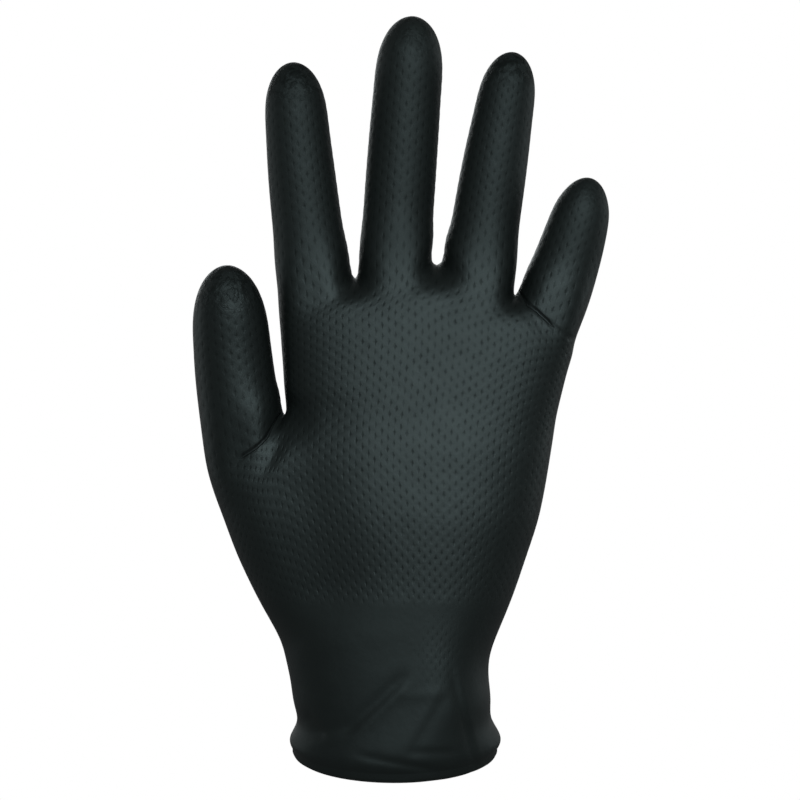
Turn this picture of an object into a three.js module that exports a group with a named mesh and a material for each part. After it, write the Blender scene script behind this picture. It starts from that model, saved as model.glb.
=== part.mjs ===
// A textured nitrile exam glove, in the form it takes on a left hand: palm towards -Y, fingers up.
// Millimetres, +Z up. The origin is the centre of the cuff opening, where the hand goes in.
// The glove is one dipped film, so it is one hollow solid: trunk, five fingers and a rolled bead.
import * as THREE from 'three';

// Film and rolled bead
const WALL = 1.0;
const BEAD_RADIUS = 1.6;

// Cuff and wrist
const CUFF_WIDTH = 68.6;
const CUFF_DEPTH = 47;
const HEM_HEIGHT = 0.3;
const HEM_TILT = 6.8; // how far the hem's front lies below its sides, and its back above them
const WRIST_WIDTH = 63;
const WRIST_DEPTH = 43;

// Palm
const HEEL_DEPTH = 43;
const PALM_WIDTH = 87;
const PALM_DEPTH = 35;
const KNUCKLE_WIDTH = 96;
const KNUCKLE_DEPTH = 25;
const THUMB_WEB_HEIGHT = 107.5;
const FINGER_WEB_HEIGHT = 155.5;

// Each finger. Lengths and widths are millimetres, and lean is its tilt towards the little side in
// degrees, at its root and at its tip.
const FINGERS = {
  thumb: { length: 53.9, rootWidth: 26.0, midWidth: 24.9, endWidth: 21.2, rootLean: -8, tipLean: -1.5 },
  index: { length: 70.4, rootWidth: 23.0, midWidth: 21.5, endWidth: 18.2, rootLean: -8.3, tipLean: -3 },
  middle: { length: 80.5, rootWidth: 22.6, midWidth: 22.3, endWidth: 20.6, rootLean: 3.4, tipLean: 5.2 },
  ring: { length: 72.5, rootWidth: 22.2, midWidth: 20.8, endWidth: 16.2, rootLean: 8.2, tipLean: 10.2 },
  little: { length: 45.6, rootWidth: 22.8, midWidth: 20.6, endWidth: 15.6, rootLean: 22.5, tipLean: 12 },
};
const FINGER_FLATNESS = 0.9; // depth of a finger as a share of its width
const DOME_LENGTH = 1.65; // a fingertip's length as a share of its half width
const FINGER_CURL = 5; // how far a fingertip comes forward of its root
const THUMB_CURL = 8;
const THUMB_FORWARD = 2; // how far the thumb's root lies forward of the palm's middle
const THUMB_ROOT_DEPTH = 19.5;

// Where the fingers part, from the index side to the little side. across and below, which is under
// FINGER_WEB_HEIGHT, are shares of KNUCKLE_WIDTH, and gap is the width of a web's bottom.
const KNUCKLES = [
  { name: 'index side', across: 0, below: 0.088, gap: 0 },
  { name: 'index web', across: 0.259, below: 0.042, gap: 1.6 },
  { name: 'middle web', across: 0.533, below: 0, gap: 2.8 },
  { name: 'ring web', across: 0.797, below: 0.1, gap: 1.2 },
  { name: 'little side', across: 0.998, below: 0.255, gap: 0 },
];
const PALM_FLARE = 0.315; // share of the knuckles' extra width that is on the thumb side
const THUMB_WEB_GAP = 1.0;
const THUMB_OUTSIDE_BELOW = 14.5; // the outer end of the thumb's root, under THUMB_WEB_HEIGHT

// The front stands out most along a line at PALM_CREST, little side of the middle, which bends to the
// middle of the cuff over CREST_RISE.
const PALM_CREST = 8;
const CREST_RISE = 35;

// Creases across the roots of the thumb and the little finger
const CREASE_WIDTH = 9;
const CREASE_DEPTH = 1.0;
const THUMB_SAG = 7; // how far the line round a finger's root bows down across it
const LITTLE_SAG = 3;
const ROOT_SAG = 6.5;
const THUMB_PINCH = 0.28; // how fast a finger's root narrows towards its webs
const ROOT_PINCH = 0.38;

// Mesh: rows of the cage lie about this far apart, and each cage face is split REFINEMENTS times
const ROW_STEP = 17;
const REFINEMENTS = 1;
const FIT_ROUNDS = 8;

// The whole width at the thumb web
const SPAN = PALM_WIDTH + THUMB_WEB_GAP + FINGERS.thumb.rootWidth;

// The trunk from the hem up. height is a share of THUMB_WEB_HEIGHT, thumb and little are the reach to
// each side as shares of width, depth is the whole depth, and power is how square the section is.
const TRUNK = [
  { height: 0.000, width: CUFF_WIDTH, thumb: 0.497, little: 0.497, depth: CUFF_DEPTH * 0.985, power: 2.0 },
  { height: 0.028, width: CUFF_WIDTH, thumb: 0.490, little: 0.493, depth: CUFF_DEPTH, power: 2.0 },
  { height: 0.070, width: WRIST_WIDTH, thumb: 0.500, little: 0.496, depth: WRIST_DEPTH * 1.05, power: 2.0 },
  { height: 0.143, width: WRIST_WIDTH, thumb: 0.518, little: 0.486, depth: WRIST_DEPTH * 1.01, power: 2.0 },
  { height: 0.203, width: WRIST_WIDTH, thumb: 0.534, little: 0.477, depth: WRIST_DEPTH, power: 2.0 },
  { height: 0.262, width: WRIST_WIDTH, thumb: 0.556, little: 0.480, depth: WRIST_DEPTH * 0.99, power: 2.0 },
  { height: 0.322, width: WRIST_WIDTH, thumb: 0.587, little: 0.511, depth: HEEL_DEPTH * 0.985, power: 2.05 },
  { height: 0.441, width: SPAN, thumb: 0.385, little: 0.328, depth: HEEL_DEPTH * 0.98, power: 2.2 },
  { height: 0.560, width: SPAN, thumb: 0.439, little: 0.367, depth: HEEL_DEPTH * 0.98, power: 2.35 },
  { height: 0.679, width: SPAN, thumb: 0.482, little: 0.403, depth: HEEL_DEPTH * 0.97, power: 2.45 },
  { height: 0.798, width: SPAN, thumb: 0.521, little: 0.426, depth: PALM_DEPTH * 1.14, power: 2.5 },
  { height: 0.917, width: SPAN, thumb: 0.541, little: 0.444, depth: PALM_DEPTH * 1.07, power: 2.6 },
  { height: 1.000, width: SPAN, thumb: 0.549, little: 0.457, depth: PALM_DEPTH, power: 2.75 },
];

// Soft folds of the palm side. from and to are places on the front, across as a share of PALM_WIDTH and
// up as a share of THUMB_WEB_HEIGHT; width and depth are shares of WRIST_WIDTH, with ridges below zero.
const FOLDS = [
  { name: 'slope beside the thumb', from: [-0.40, 0.92], to: [-0.26, 0.42], width: 0.254, depth: 0.051 },
  { name: 'wrist to thumb side', from: [0.026, 0.212], to: [-0.25, 0.055], width: 0.06, depth: 0.013 },
  { name: 'wrist to little side', from: [0.17, 0.167], to: [0.055, 0.012], width: 0.06, depth: 0.013 },
  { name: 'side fold', from: [0.215, 0.215], to: [0.285, -0.01], width: 0.06, depth: 0.012 },
];

const COLUMNS_PER_FINGER = 3; // on the front, and again on the back
const FINGER_SIDES = 8;
const DIAGONAL = Math.SQRT1_2;
// Places round a finger's ring, from its thumb side by the front: across, and forward
const RING = [
  [-1, 0], [-DIAGONAL, 1 * DIAGONAL], [0, 1], [DIAGONAL, DIAGONAL],
  [1, 0], [DIAGONAL, -DIAGONAL], [0, -1], [-DIAGONAL, -DIAGONAL],
];

const { lerp, clamp, degToRad } = THREE.MathUtils;
const ease = (t) => THREE.MathUtils.smoothstep(t, 0, 1);

// One column of a table as a smooth function of height.
function curve(rows, column) {
  const heights = rows.map((row) => row.height);
  const values = rows.map((row) => row[column]);
  const last = rows.length - 1;
  const slopes = rows.map((_, i) => {
    const a = Math.max(0, i - 1);
    const b = Math.min(last, i + 1);
    return (values[b] - values[a]) / (heights[b] - heights[a]);
  });
  return (height) => {
    const h = clamp(height, heights[0], heights[last]);
    const i = Math.max(0, heights.findIndex((value) => value >= h) - 1);
    const step = heights[i + 1] - heights[i];
    const t = (h - heights[i]) / step;
    const rise = values[i + 1] - values[i];
    const start = slopes[i] * step;
    const end = slopes[i + 1] * step;
    return values[i] + t * (start + t * (3 * rise - 2 * start - end + t * (start + end - 2 * rise)));
  };
}

const trunkRows = TRUNK.map((row) => ({
  height: row.height * THUMB_WEB_HEIGHT,
  thumb: -row.thumb * row.width,
  little: row.little * row.width,
  depth: row.depth,
  power: row.power,
}));
const littleAtWeb = trunkRows.at(-1).little;
const indexAtWeb = littleAtWeb - PALM_WIDTH;

// The two ends of each finger's root, and how far its line bows down between them
const FOUR = ['index', 'middle', 'ring', 'little'];
const knuckleStart = indexAtWeb - PALM_FLARE * (KNUCKLE_WIDTH - PALM_WIDTH);
const knuckles = KNUCKLES.map(({ across, below, gap }) => ({
  x: knuckleStart + across * KNUCKLE_WIDTH,
  z: FINGER_WEB_HEIGHT - below * KNUCKLE_WIDTH,
  half: gap / 2,
}));
const littleOutside = knuckles.at(-1);
const trunkTopRow = trunkRows.at(-1);
const thumbSide = curve(trunkRows, 'thumb');
const littleSide = curve([...trunkRows, { height: littleOutside.z, little: littleOutside.x }], 'little');
const depthAt = curve([...trunkRows, { height: FINGER_WEB_HEIGHT, depth: KNUCKLE_DEPTH }], 'depth');
const powerAt = curve([...trunkRows, { height: FINGER_WEB_HEIGHT, power: trunkTopRow.power }], 'power');
const indexSide = (z) => {
  const t = (z - THUMB_WEB_HEIGHT) / (knuckles[0].z - THUMB_WEB_HEIGHT);
  return lerp(indexAtWeb, knuckleStart, clamp(t, 0, 1));
};

const thumbEnd = indexAtWeb - THUMB_WEB_GAP;
const roots = {
  thumb: {
    from: new THREE.Vector2(thumbEnd - FINGERS.thumb.rootWidth, THUMB_WEB_HEIGHT - THUMB_OUTSIDE_BELOW),
    to: new THREE.Vector2(thumbEnd, THUMB_WEB_HEIGHT),
    sag: THUMB_SAG,
    pinch: THUMB_PINCH,
    depth: THUMB_ROOT_DEPTH,
    forward: THUMB_FORWARD,
  },
};
FOUR.forEach((name, i) => {
  const [start, end] = [knuckles[i], knuckles[i + 1]];
  roots[name] = {
    from: new THREE.Vector2(start.x + start.half, start.z),
    to: new THREE.Vector2(end.x - end.half, end.z),
    sag: name === 'little' ? LITTLE_SAG : ROOT_SAG,
    pinch: ROOT_PINCH,
    depth: depthAt((start.z + end.z) / 2),
    forward: 0,
  };
});

// A place on a finger's root, at t from -1 on its thumb side to 1 on its little side.
function rootPlace(name, t, side) {
  const { from, to, sag, pinch, depth, forward } = roots[name];
  const at = from.clone().lerp(to, (t + 1) / 2);
  const bow = (1 - t * t) ** pinch;
  return [at.x, (side * bow * depth) / 2 - forward, at.y - sag * bow];
}

// The point at a share of the way along the front of a section, from its thumb side to its little side.
// crest is where it stands out most.
const ARC_STEPS = 96;
function onSection(left, crest, right, depth, power, share) {
  const outline = Array.from({ length: ARC_STEPS + 1 }, (_, i) => {
    const angle = Math.PI * (1 - i / ARC_STEPS);
    const across = Math.sign(Math.cos(angle)) * Math.abs(Math.cos(angle)) ** (2 / power);
    const out = Math.sin(angle) ** (2 / power);
    const reach = across < 0 ? crest - left : right - crest;
    return new THREE.Vector2(crest + across * reach, (out * depth) / 2);
  });
  const lengths = [0];
  for (let i = 1; i <= ARC_STEPS; i++) {
    lengths.push(lengths[i - 1] + outline[i].distanceTo(outline[i - 1]));
  }
  const wanted = share * lengths[ARC_STEPS];
  const i = Math.min(ARC_STEPS - 1, Math.max(0, lengths.findIndex((l) => l >= wanted - 1e-9) - 1));
  const t = (wanted - lengths[i]) / (lengths[i + 1] - lengths[i]);
  return outline[i].clone().lerp(outline[i + 1], clamp(t, 0, 1));
}

// How far a section stands out at x.
function outAt(left, crest, right, depth, power, x) {
  const across = Math.min(1, x < crest ? (crest - x) / (crest - left) : (x - crest) / (right - crest));
  return (depth / 2) * (1 - across ** power) ** (1 / power);
}

// The cage: the places that the smooth surface passes through, and the faces between them.
const cage = { points: [], faces: [] };
const put = (x, y, z) => cage.points.push(new THREE.Vector3(x, y, z)) - 1;
function join(low, high) {
  low.forEach((_, i) => {
    const next = (i + 1) % low.length;
    cage.faces.push([low[i], low[next], high[next], high[i]]);
  });
}

// Columns of a ring from the thumb side: the front ones, the little side, and the back ones.
function ringOf(columns, place) {
  const ring = [];
  for (let k = 0; k < 2 * columns; k++) {
    const front = k <= columns;
    ring.push(place(front ? k : 2 * columns - k, front ? -1 : 1));
  }
  return ring;
}

const TRUNK_COLUMNS = 5 * COLUMNS_PER_FINGER + 1;
const PALM_COLUMNS = 4 * COLUMNS_PER_FINGER + 1;
const LOBE_REACH = 0.2; // share of the trunk's height over which the thumb's root fades into it
const LOBE_SHARPNESS = 3; // how late its depth does
const ULNAR_DROP = 0.07; // how far the palm's rows fall towards the little side, as a share of height
const LOBE = [-DIAGONAL, 0, DIAGONAL];

// The palm alone, at the thumb web: columns from 0 on the index side to PALM_COLUMNS on the little side.
function palmAtWeb(column, side) {
  const share = column / PALM_COLUMNS;
  const z = THUMB_WEB_HEIGHT * (1 - ULNAR_DROP * ease(share));
  const at = onSection(indexAtWeb, PALM_CREST, littleAtWeb, depthAt(z), powerAt(z), share);
  return [at.x, side * at.y, z];
}

// The top row of the trunk, where the thumb and the palm part.
function trunkTop(column, side) {
  if (column > COLUMNS_PER_FINGER) return palmAtWeb(column - COLUMNS_PER_FINGER, side);
  return rootPlace('thumb', column === 0 ? -1 : LOBE[column - 1], side);
}

// How far the tilt of the hem lifts a place at this height above it.
function hemLift(height, y, depth) {
  const near = 1 - clamp(height / (WRIST_WIDTH / 2), 0, 1);
  return (HEM_TILT * near * near * 2 * y) / depth;
}

// A row of the trunk at a share of the way from the hem to its top.
function trunkRow(share) {
  return ringOf(TRUNK_COLUMNS, (column, side) => {
    const [topX, topY, topZ] = trunkTop(column, side);
    const z = lerp(HEM_HEIGHT, topZ, share);
    const left = thumbSide(z);
    const right = littleSide(z);
    const depth = depthAt(z);
    const crest = PALM_CREST * ease(z / CREST_RISE);
    const even = onSection(left, crest, right, depth, powerAt(z), column / TRUNK_COLUMNS);
    const topLeft = trunkTop(0, side)[0];
    const stretch = (right - left) / SPAN;
    const lobe = ease((share - 1 + LOBE_REACH) / LOBE_REACH);
    const x = lerp(even.x, left + (topX - topLeft) * stretch, lobe);
    const out = outAt(left, crest, right, depth, powerAt(z), x);
    const y = lerp(side * out, (topY * depth) / depthAt(topZ), lobe ** LOBE_SHARPNESS);
    return put(x, y, z + hemLift(z - HEM_HEIGHT, y, depth));
  });
}

// A row of the palm at a share of the way from the thumb web to the finger roots.
function knucklePlace(column, side) {
  const finger = FOUR[clamp(Math.ceil(column / COLUMNS_PER_FINGER) - 1, 0, 3)];
  const t = column === 0 ? -1 : column === PALM_COLUMNS ? 1 : LOBE[(column - 1) % COLUMNS_PER_FINGER];
  return rootPlace(finger, t, side);
}

const KNUCKLE_FADE = 8; // how fast the finger roots fade into the palm
function palmRow(share) {
  return ringOf(PALM_COLUMNS, (column, side) => {
    const [topX, topY, topZ] = knucklePlace(column, side);
    const [, , lowZ] = palmAtWeb(column, side);
    const z = lerp(lowZ, topZ, share);
    const [left, right] = [indexSide(z), littleSide(z)];
    const middle = (left + right) / 2;
    const at = onSection(left, middle, right, depthAt(z), powerAt(z), column / PALM_COLUMNS);
    const lobe = share ** KNUCKLE_FADE * ease(share);
    return put(lerp(at.x, topX, lobe), lerp(side * at.y, topY, lobe), z);
  });
}

// Width of a finger square to it, at a share of its length.
function fingerWidth(name, share) {
  const { rootWidth, midWidth, endWidth } = FINGERS[name];
  const rows = [
    { height: 0, width: rootWidth },
    { height: 0.5, width: midWidth },
    { height: 1, width: endWidth },
  ];
  return curve(rows, 'width')(share);
}

// The middle of a finger at a distance from its root, along an arc from its root's lean to its tip's.
const PATH_STEPS = 24;
function fingerPath(name, distance) {
  const finger = FINGERS[name];
  const { from, to, forward } = roots[name];
  const at = new THREE.Vector3((from.x + to.x) / 2, -forward, (from.y + to.y) / 2);
  for (let i = 0; i < PATH_STEPS; i++) {
    const share = ((i + 0.5) / PATH_STEPS) * (distance / finger.length);
    const lean = degToRad(lerp(finger.rootLean, finger.tipLean, share));
    at.x += (Math.sin(lean) * distance) / PATH_STEPS;
    at.z += (Math.cos(lean) * distance) / PATH_STEPS;
  }
  const curl = name === 'thumb' ? THUMB_CURL : FINGER_CURL;
  at.y -= curl * (distance / finger.length) ** 2;
  return at;
}

// A ring round a finger. scale is its share of the full width there.
const ROOT_REACH = 20; // distance over which a ring turns square to its finger
function fingerRing(name, root, distance, scale = 1) {
  const finger = FINGERS[name];
  const share = distance / finger.length;
  const half = (scale * fingerWidth(name, share)) / 2;
  const centre = fingerPath(name, distance);
  const start = fingerPath(name, 0);
  const lean = degToRad(lerp(finger.rootLean, finger.tipLean, share));
  const turned = ease(distance / ROOT_REACH);
  return RING.map(([across, forward], i) => {
    const square = new THREE.Vector3(
      centre.x + half * across * Math.cos(lean),
      centre.y - half * forward * FINGER_FLATNESS,
      centre.z - half * across * Math.sin(lean),
    );
    const rooted = cage.points[root[i]].clone().sub(start).add(centre);
    const at = rooted.lerp(square, turned);
    return put(at.x, at.y, at.z);
  });
}

// Share of the crease's depth at each place round the root. It starts at the web and dies out across.
const CREASES = {
  thumb: [0, 0, 0.6, 1, 0.3, 0, 0, 0],
  little: [0.3, 1, 1, 0.4, 0, 0, 0, 0],
};
const DOME_ANGLES = [90, 64, 36];
const TIP_CROWDING = 1.3; // how much closer the rows lie towards the tip

function growFinger(name, root) {
  const finger = FINGERS[name];
  const dome = (DOME_LENGTH * finger.endWidth) / 2;
  const body = finger.length - dome;
  const above = [CREASE_WIDTH / 2, CREASE_WIDTH / 2 + ROW_STEP / 2];
  const rows = Math.ceil((body - above.at(-1)) / ROW_STEP);
  for (let i = 1; i < rows; i++) above.push(lerp(body, above[1], (1 - i / rows) ** TIP_CROWDING));
  let last = root;
  const add = (ring) => {
    join(last, ring);
    last = ring;
  };
  above.forEach((distance) => add(fingerRing(name, root, distance)));
  DOME_ANGLES.forEach((degrees) => {
    const angle = degToRad(degrees);
    add(fingerRing(name, root, body + dome * Math.cos(angle), Math.sin(angle)));
  });
  const tip = fingerPath(name, finger.length);
  const pole = put(tip.x, tip.y, tip.z);
  for (let i = 0; i < FINGER_SIDES; i += 2) {
    cage.faces.push([pole, last[i], last[i + 1], last[(i + 2) % FINGER_SIDES]]);
  }
  const middle = fingerPath(name, 0);
  CREASES[name]?.forEach((share, i) => {
    const inward = middle.clone().sub(cage.points[root[i]]).setZ(0).normalize();
    cage.points[root[i]].addScaledVector(inward, share * CREASE_DEPTH);
  });
}

// Parts a ring into one ring for each branch, with a web of two faces between neighbours.
// branches gives the number of columns that each takes; webs the places of each web's two middles.
function split(ring, columns, branches, webs) {
  const half = columns;
  const front = (k) => ring[k];
  const back = (k) => ring[(2 * half - k) % ring.length];
  const rings = [];
  let first = 1;
  let leftSide = ring[0];
  branches.forEach((count, b) => {
    const last = first + count - 1;
    const isEnd = b === branches.length - 1;
    const middles = isEnd ? null : webs[b].map((place) => put(...place));
    const rightSide = isEnd ? ring[half] : middles[0];
    const across = Array.from({ length: count }, (_, i) => first + i);
    rings.push([leftSide, ...across.map(front), rightSide, ...across.reverse().map(back)]);
    if (!isEnd) {
      cage.faces.push([front(last), front(last + 1), middles[1], middles[0]]);
      cage.faces.push([middles[0], middles[1], back(last + 1), back(last)]);
      leftSide = middles[1];
    }
    first = last + 1;
  });
  return rings;
}

// Shares of the way from the hem to the thumb web, and from there to the finger webs, with a row close
// to each row that needs a tight turn.
const HEM_SHARES = [0, 0.03, 0.085, 0.15];
const UNDER_CREASE = 1 - CREASE_WIDTH / 2 / THUMB_WEB_HEIGHT;
const PALM_SHARES = [0.34, 0.66, 0.9, 1];

function buildCage() {
  const shares = [...HEM_SHARES];
  const upper = UNDER_CREASE - ROW_STEP / 2 / THUMB_WEB_HEIGHT;
  const rows = Math.floor(((upper - shares.at(-1)) * THUMB_WEB_HEIGHT) / ROW_STEP);
  for (let i = 1; i <= rows; i++) shares.push(lerp(HEM_SHARES.at(-1), upper, i / rows));
  shares.push(UNDER_CREASE, 1);
  let ring = trunkRow(shares[0]);
  shares.slice(1).forEach((share) => {
    const next = trunkRow(share);
    join(ring, next);
    ring = next;
  });
  const webY = -THUMB_FORWARD / 2;
  const thumbWeb = [[thumbEnd, webY, THUMB_WEB_HEIGHT], [indexAtWeb, webY, THUMB_WEB_HEIGHT]];
  const branches = [COLUMNS_PER_FINGER, PALM_COLUMNS - 1];
  const [thumbRoot, palmRoot] = split(ring, TRUNK_COLUMNS, branches, [thumbWeb]);
  growFinger('thumb', thumbRoot);

  ring = palmRoot;
  PALM_SHARES.forEach((share) => {
    const next = palmRow(share);
    join(ring, next);
    ring = next;
  });
  const fingerWebs = knuckles.slice(1, -1).map(({ x, z, half }) => [[x - half, 0, z], [x + half, 0, z]]);
  const rings = split(ring, PALM_COLUMNS, FOUR.map(() => COLUMNS_PER_FINGER), fingerWebs);
  FOUR.forEach((name, i) => growFinger(name, rings[i]));
}

// The edges of a quad mesh, each with the faces on it.
function edgesOf(faces) {
  const edges = new Map();
  faces.forEach((face, f) => face.forEach((a, i) => {
    const b = face[(i + 1) % 4];
    const key = a < b ? `${a}_${b}` : `${b}_${a}`;
    if (!edges.has(key)) edges.set(key, { ends: [a, b], faces: [] });
    edges.get(key).faces.push(f);
  }));
  return edges;
}

// For each point: its neighbours along edges, its faces' far corners, and its two neighbours on the hem.
function aroundPoints(count, faces) {
  const around = Array.from({ length: count }, () => ({ edges: [], corners: [], hem: [] }));
  edgesOf(faces).forEach(({ ends: [a, b], faces: sides }) => {
    around[a].edges.push(b);
    around[b].edges.push(a);
    if (sides.length === 1) {
      around[a].hem.push(b);
      around[b].hem.push(a);
    }
  });
  faces.forEach((face) => face.forEach((a, i) => around[a].corners.push(face[(i + 2) % 4])));
  return around;
}

const sum = (points, picked) => picked.reduce((total, i) => total.add(points[i]), new THREE.Vector3());

// Where each point of a Catmull-Clark cage ends up on its smooth surface.
function onSurface(points, around) {
  return points.map((point, i) => {
    const { edges, corners, hem } = around[i];
    if (hem.length) return sum(points, hem).addScaledVector(point, 4).divideScalar(6);
    const n = edges.length;
    const total = sum(points, edges).multiplyScalar(4).add(sum(points, corners));
    return total.addScaledVector(point, n * n).divideScalar(n * (n + 5));
  });
}

// Swells the cage until its smooth surface passes through the places that it was given.
function fit({ points, faces }) {
  const around = aroundPoints(points.length, faces);
  let swollen = points.map((point) => point.clone());
  for (let round = 0; round < FIT_ROUNDS; round++) {
    const reached = onSurface(swollen, around);
    swollen = swollen.map((point, i) => point.clone().add(points[i]).sub(reached[i]));
  }
  return { points: swollen, faces };
}

// One Catmull-Clark refinement.
function refine({ points, faces }) {
  const around = aroundPoints(points.length, faces);
  const made = [];
  const centres = faces.map((face) => sum(points, face).divideScalar(4));
  const centreSums = points.map(() => new THREE.Vector3());
  faces.forEach((face, f) => face.forEach((a) => centreSums[a].add(centres[f])));
  points.forEach((point, i) => {
    const { edges, hem } = around[i];
    if (hem.length) {
      made.push(sum(points, hem).addScaledVector(point, 6).divideScalar(8));
      return;
    }
    const n = edges.length;
    const middles = sum(points, edges).addScaledVector(point, n).divideScalar(2 * n);
    const centre = centreSums[i].divideScalar(n);
    made.push(centre.addScaledVector(middles, 2).addScaledVector(point, n - 3).divideScalar(n));
  });
  const edgePoint = new Map();
  edgesOf(faces).forEach(({ ends: [a, b], faces: sides }, key) => {
    const middle = points[a].clone().add(points[b]);
    if (sides.length === 2) middle.add(centres[sides[0]]).add(centres[sides[1]]).divideScalar(4);
    else middle.divideScalar(2);
    edgePoint.set(key, made.push(middle) - 1);
  });
  const between = (a, b) => edgePoint.get(a < b ? `${a}_${b}` : `${b}_${a}`);
  const smaller = [];
  faces.forEach((face, f) => {
    const centre = made.push(centres[f]) - 1;
    face.forEach((a, i) => {
      smaller.push([a, between(a, face[(i + 1) % 4]), centre, between(face[(i + 3) % 4], a)]);
    });
  });
  return { points: made, faces: smaller };
}

function normalsOf(points, faces) {
  const normals = points.map(() => new THREE.Vector3());
  faces.forEach(([a, b, c, d]) => {
    const normal = points[c].clone().sub(points[a]).cross(points[d].clone().sub(points[b]));
    [a, b, c, d].forEach((i) => normals[i].add(normal));
  });
  return normals.map((normal) => normal.normalize());
}

// Depth of the soft folds at a place on the front of the glove.
function foldDepth(at) {
  return FOLDS.reduce((total, fold) => {
    const [from, to] = [fold.from, fold.to].map(
      ([across, up]) => new THREE.Vector2(across * PALM_WIDTH, up * THUMB_WEB_HEIGHT),
    );
    const along = to.clone().sub(from);
    const place = new THREE.Vector2(at.x, at.z).sub(from);
    const t = clamp(place.dot(along) / along.lengthSq(), 0, 1);
    const away = place.addScaledVector(along, -t).length() / (fold.width * WRIST_WIDTH);
    const ends = Math.sin(Math.PI * clamp(0.15 + 0.7 * t, 0, 1));
    return total + fold.depth * WRIST_WIDTH * ends * Math.exp(-away * away);
  }, 0);
}

// The hem's points in order, from the faces that end there.
function hemLoop(faces) {
  const next = new Map();
  edgesOf(faces).forEach(({ ends: [a, b], faces: sides }) => {
    if (sides.length === 1) next.set(a, b);
  });
  const loop = [next.keys().next().value];
  while (next.get(loop.at(-1)) !== loop[0]) loop.push(next.get(loop.at(-1)));
  return loop;
}

// Angles round the bead's section, from the film's outer face by the bottom to its inner one.
const BEAD_ANGLES = [-15, -65, -115, -165, -215, -265];
const BEAD_INWARD = 0.69; // how far the bead is rolled inwards, as a share of its radius
const BEAD_BELOW = 0.8; // how far its middle lies under the film's end

// Gives the film its thickness, and closes it at the hem with the rolled bead.
function thicken({ points, faces }) {
  const count = points.length;
  const normals = normalsOf(points, faces);
  const outer = points.map((point, i) => {
    const front = ease(-normals[i].y * 2);
    return point.clone().addScaledVector(normals[i], -foldDepth(point) * front);
  });
  const inner = outer.map((point, i) => point.clone().addScaledVector(normals[i], -WALL));
  const all = [...outer, ...inner];
  const quads = [...faces, ...faces.map((face) => face.map((i) => i + count).reverse())];
  const loop = hemLoop(faces);
  const outward = loop.map((i) => normals[i].clone().setZ(0).normalize());
  const centres = loop.map((i, k) => outer[i].clone().add(inner[i]).divideScalar(2)
    .addScaledVector(outward[k], -BEAD_INWARD * BEAD_RADIUS)
    .add(new THREE.Vector3(0, 0, -BEAD_BELOW * BEAD_RADIUS)));
  const rings = [loop];
  BEAD_ANGLES.forEach((degrees) => {
    const angle = degToRad(degrees);
    rings.push(loop.map((_, k) => {
      const at = centres[k].clone().addScaledVector(outward[k], BEAD_RADIUS * Math.cos(angle));
      at.z += BEAD_RADIUS * Math.sin(angle);
      return all.push(at) - 1;
    }));
  });
  rings.push(loop.map((i) => i + count));
  for (let r = 1; r < rings.length; r++) {
    loop.forEach((_, k) => {
      const next = (k + 1) % loop.length;
      quads.push([rings[r - 1][next], rings[r - 1][k], rings[r][k], rings[r][next]]);
    });
  }
  return { points: all, faces: quads };
}

function toGeometry({ points, faces }) {
  const position = new Float32Array(points.flatMap((point) => point.toArray()));
  const index = faces.flatMap(([a, b, c, d]) => [a, b, c, a, c, d]);
  const geometry = new THREE.BufferGeometry();
  geometry.setAttribute('position', new THREE.BufferAttribute(position, 3));
  geometry.setIndex(index);
  geometry.computeVertexNormals();
  return geometry;
}

function makeFilm() {
  buildCage();
  let surface = fit(cage);
  for (let i = 0; i < REFINEMENTS; i++) surface = refine(surface);
  const around = aroundPoints(surface.points.length, surface.faces);
  surface.points = onSurface(surface.points, around);
  const nitrile = new THREE.MeshStandardMaterial({ color: 0x1b2120, roughness: 0.55, metalness: 0 });
  const mesh = new THREE.Mesh(toGeometry(thicken(surface)), nitrile);
  mesh.name = 'glove_film';
  return mesh;
}

const glove = new THREE.Group();
glove.add(makeFilm());

export default glove;
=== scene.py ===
"""A black textured nitrile exam glove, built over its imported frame.

The glove is one film. Its shape is a cage of four-sided faces, which is swollen until the smooth
surface over it passes through the places that the tables give. The finest mesh is a grid of about
1 mm, and one point in eight of it is a pit of the grip. The material adds a thin ridge round each.
Lengths in the tables are millimetres. +Z is up, -Y is the palm's side and -X the thumb's side.
"""
import math

import bpy
import numpy as np
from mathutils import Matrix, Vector


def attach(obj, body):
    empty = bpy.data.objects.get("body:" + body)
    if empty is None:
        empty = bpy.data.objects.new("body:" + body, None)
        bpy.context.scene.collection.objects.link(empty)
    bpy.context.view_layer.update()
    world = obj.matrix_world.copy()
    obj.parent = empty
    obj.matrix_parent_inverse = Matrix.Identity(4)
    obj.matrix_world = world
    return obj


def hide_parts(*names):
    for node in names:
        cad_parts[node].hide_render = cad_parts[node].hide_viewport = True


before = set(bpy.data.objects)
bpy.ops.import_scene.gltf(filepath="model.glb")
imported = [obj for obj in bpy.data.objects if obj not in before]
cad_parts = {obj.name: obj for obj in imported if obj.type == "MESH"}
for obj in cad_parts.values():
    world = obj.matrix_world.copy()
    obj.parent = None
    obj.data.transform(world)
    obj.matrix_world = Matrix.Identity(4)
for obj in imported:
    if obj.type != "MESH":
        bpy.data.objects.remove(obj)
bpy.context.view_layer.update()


def table(columns, *rows):
    """Rows of values with named columns."""
    return [dict(zip(columns, row)) for row in rows]


MM = 0.001

# Film, and the bead at the hem. The bead is rolled inwards: its angles run round its section, from
# the film's outer face to its inner one, and its centre lies inward and below by shares of its radius.
FILM = 0.4
BEAD_RADIUS = 1.6
BEAD_ANGLES = (-10, -46, -82, -118, -154, -190, -226, -262, -290)
BEAD_INWARD = 0.88
BEAD_BELOW = 0.8

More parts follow.
